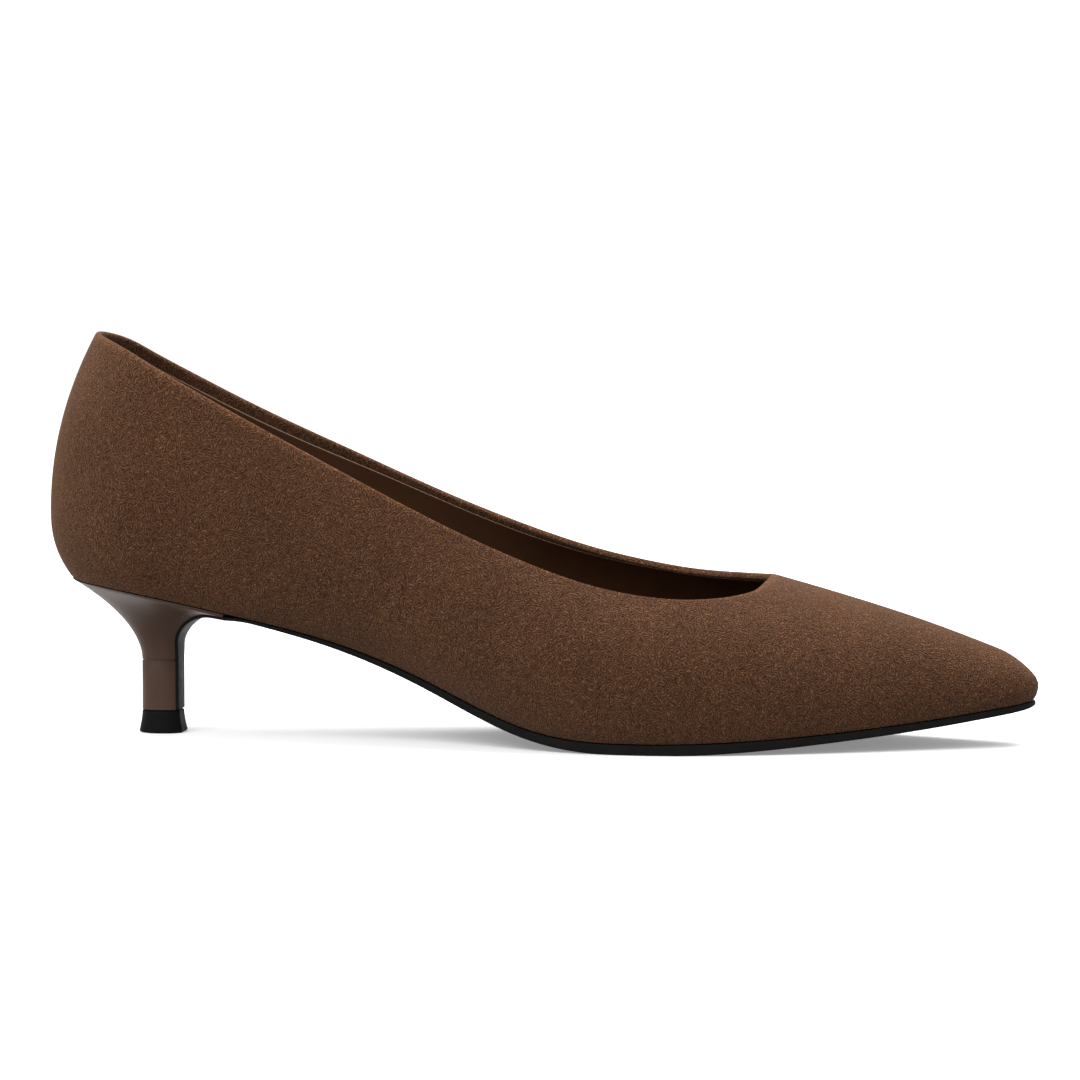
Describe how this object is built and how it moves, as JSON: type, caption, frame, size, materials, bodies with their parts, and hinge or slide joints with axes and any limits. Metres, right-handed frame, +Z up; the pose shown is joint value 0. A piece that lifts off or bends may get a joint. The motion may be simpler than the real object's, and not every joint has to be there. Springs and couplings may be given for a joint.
{
  "type": "kitten heel pump",
  "caption": "Closed, pointed court shoe for the right foot on a low, slim heel, with a hollow upper, insole, outsole, heel and top lift.",
  "frame": {"origin": "on the floor, under the middle of the shoe's length and width", "axes": "+X from the heel to the toe, +Y from the outer to the inner side, +Z up"},
  "size_m": [0.2646, 0.0804, 0.1081],
  "materials": {
    "suede": "brown suede",
    "lining": "dark brown lining leather",
    "sole": "black sole leather",
    "heel": "glossy taupe brown",
    "top_lift": "black rubber"
  },
  "bodies": {
    "root": {"upper": "suede", "insole": "lining", "outsole": "sole", "heel": "heel", "top_lift": "top_lift"}
  },
  "joints": []
}
